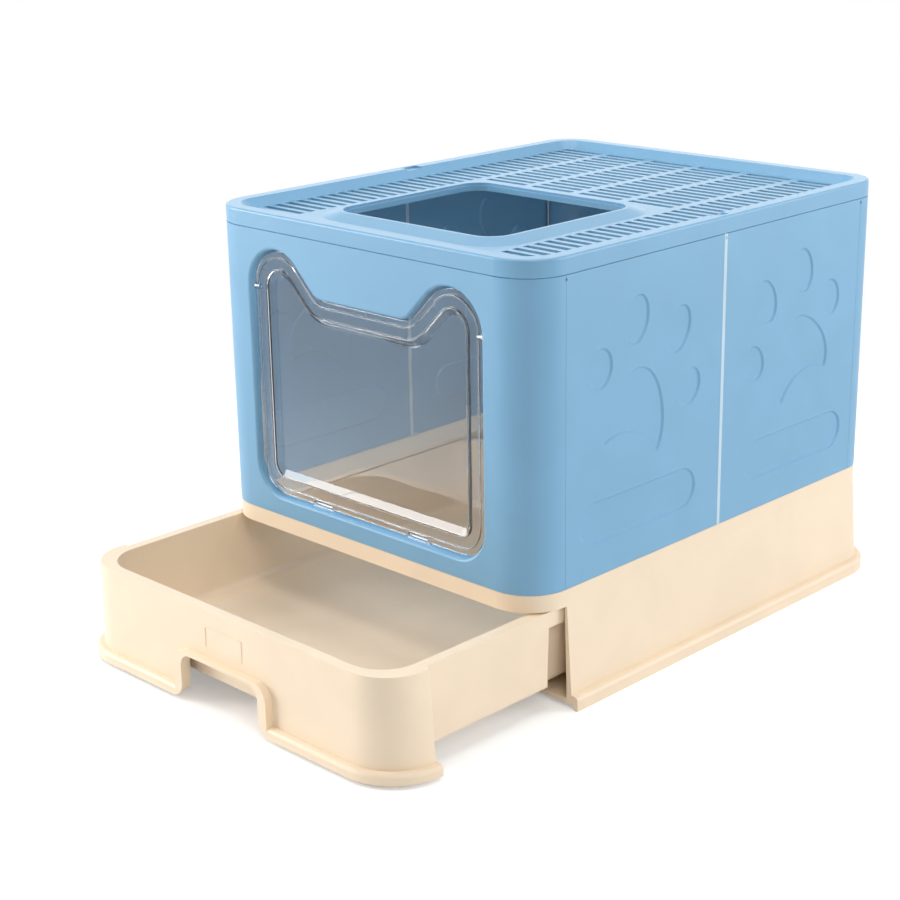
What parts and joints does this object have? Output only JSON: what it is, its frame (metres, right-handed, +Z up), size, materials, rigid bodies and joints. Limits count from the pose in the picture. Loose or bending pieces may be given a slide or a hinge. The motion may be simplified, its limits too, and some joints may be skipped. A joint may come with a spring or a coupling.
{
  "type": "foldable litter box",
  "caption": "Covered litter box with walls that fold flat, a clear swing door with two ears, a pull-out tray in a flared base and a lid with a top opening and grille fields.",
  "frame": {"origin": "on the ground, in the middle of the footprint that the box has with its drawer pulled out as stored", "axes": "+X to the right of someone who faces the back wall from the door, +Y from the door to the back wall, +Z up"},
  "size_m": [0.416, 0.67, 0.3854],
  "materials": {
    "cream_plastic": "moulded, low gloss",
    "blue_plastic": "moulded, satin",
    "pale_hinge_plastic": "moulded, satin",
    "steel_pin": "drawn wire",
    "clear_plastic": "moulded, clear and polished"
  },
  "bodies": {
    "base": {"base_frame": "cream_plastic"},
    "drawer": {"drawer_tray": "cream_plastic", "drawer_front": "cream_plastic"},
    "back_wall": {"back_panel": "blue_plastic", "right_rear_corner_pin": "steel_pin", "left_rear_corner_pin": "steel_pin"},
    "right_rear_wall": {"right_rear_panel": "blue_plastic", "right_fold_hinge": "pale_hinge_plastic"},
    "right_front_wall": {"right_front_half_panel": "blue_plastic"},
    "left_rear_wall": {"left_rear_panel": "blue_plastic", "left_fold_hinge": "pale_hinge_plastic"},
    "left_front_wall": {"left_front_half_panel": "blue_plastic"},
    "front_wall": {"front_panel": "blue_plastic", "right_front_corner_pin": "steel_pin", "left_front_corner_pin": "steel_pin"},
    "door": {"door_flap": "clear_plastic", "right_door_pin": "clear_plastic", "left_door_pin": "clear_plastic"},
    "lid": {"lid_frame": "blue_plastic", "lid_grille_rear": "blue_plastic", "right_lid_grille": "blue_plastic", "left_lid_grille": "blue_plastic"}
  },
  "joints": [
    {"name": "drawer_slide", "type": "slide", "parent": "base", "child": "drawer", "axis": [0, -1, 0], "range_m": [-0.158, 0.24]},
    {"name": "walls_lift", "type": "slide", "parent": "base", "child": "back_wall", "axis": [0, 0, 1], "range_m": [0, 0.12]},
    {"name": "lid_lift", "type": "slide", "parent": "back_wall", "child": "lid", "axis": [0, 0, 1], "range_m": [0, 0.15]},
    {"name": "walls_fold", "type": "hinge", "parent": "back_wall", "child": "right_rear_wall", "pos_m": [0.1894, 0.287, 0.2386], "axis": [0, 0, 1], "range_deg": [-88, 0]},
    {"name": "right_mid_fold", "type": "hinge", "parent": "right_rear_wall", "child": "right_front_wall", "pos_m": [0.196, 0.081, 0.2386], "axis": [0, 0, 1], "range_deg": [0, 168]},
    {"name": "right_front_fold", "type": "hinge", "parent": "right_front_wall", "child": "front_wall", "pos_m": [0.1894, -0.125, 0.2386], "axis": [0, 0, 1], "range_deg": [-80, 0]},
    {"name": "left_rear_fold", "type": "hinge", "parent": "back_wall", "child": "left_rear_wall", "pos_m": [-0.1894, 0.287, 0.2386], "axis": [0, 0, 1], "range_deg": [0, 80]},
    {"name": "left_mid_fold", "type": "hinge", "parent": "left_rear_wall", "child": "left_front_wall", "pos_m": [-0.196, 0.081, 0.2386], "axis": [0, 0, 1], "range_deg": [-168, 0]},
    {"name": "door_swing", "type": "hinge", "parent": "front_wall", "child": "door", "pos_m": [0, -0.1589, 0.317], "axis": [1, 0, 0], "range_deg": [-50, 70]}
  ],
  "couplings": [
    {"joint": "right_mid_fold", "follows": "walls_fold", "ratio": -1.9},
    {"joint": "right_front_fold", "follows": "walls_fold", "ratio": 0.9},
    {"joint": "left_rear_fold", "follows": "walls_fold", "ratio": -0.9},
    {"joint": "left_mid_fold", "follows": "walls_fold", "ratio": 1.9}
  ]
}
